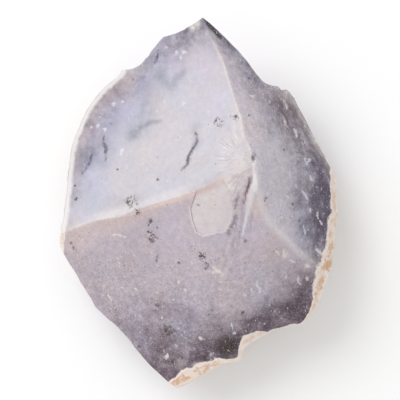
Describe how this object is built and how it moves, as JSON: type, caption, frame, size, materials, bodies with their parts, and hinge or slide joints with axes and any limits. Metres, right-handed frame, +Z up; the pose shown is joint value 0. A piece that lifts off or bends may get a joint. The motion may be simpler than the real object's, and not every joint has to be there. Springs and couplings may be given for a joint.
{
  "type": "rough agate",
  "caption": "Hand-sized chunk of rough agate, broken open to show pale grey chalcedony inside a lumpy cream rind; a mineral specimen that lies on its back.",
  "frame": {"origin": "middle of the stone's box on the plane it lies on", "axes": "+Z up, away from the plane it lies on; +Y along the longest side, towards the nose where two broken faces meet in a point"},
  "size_m": [0.0764, 0.1002, 0.046],
  "materials": {
    "agate": "satin"
  },
  "bodies": {
    "root": {"agate": "agate"}
  },
  "joints": []
}
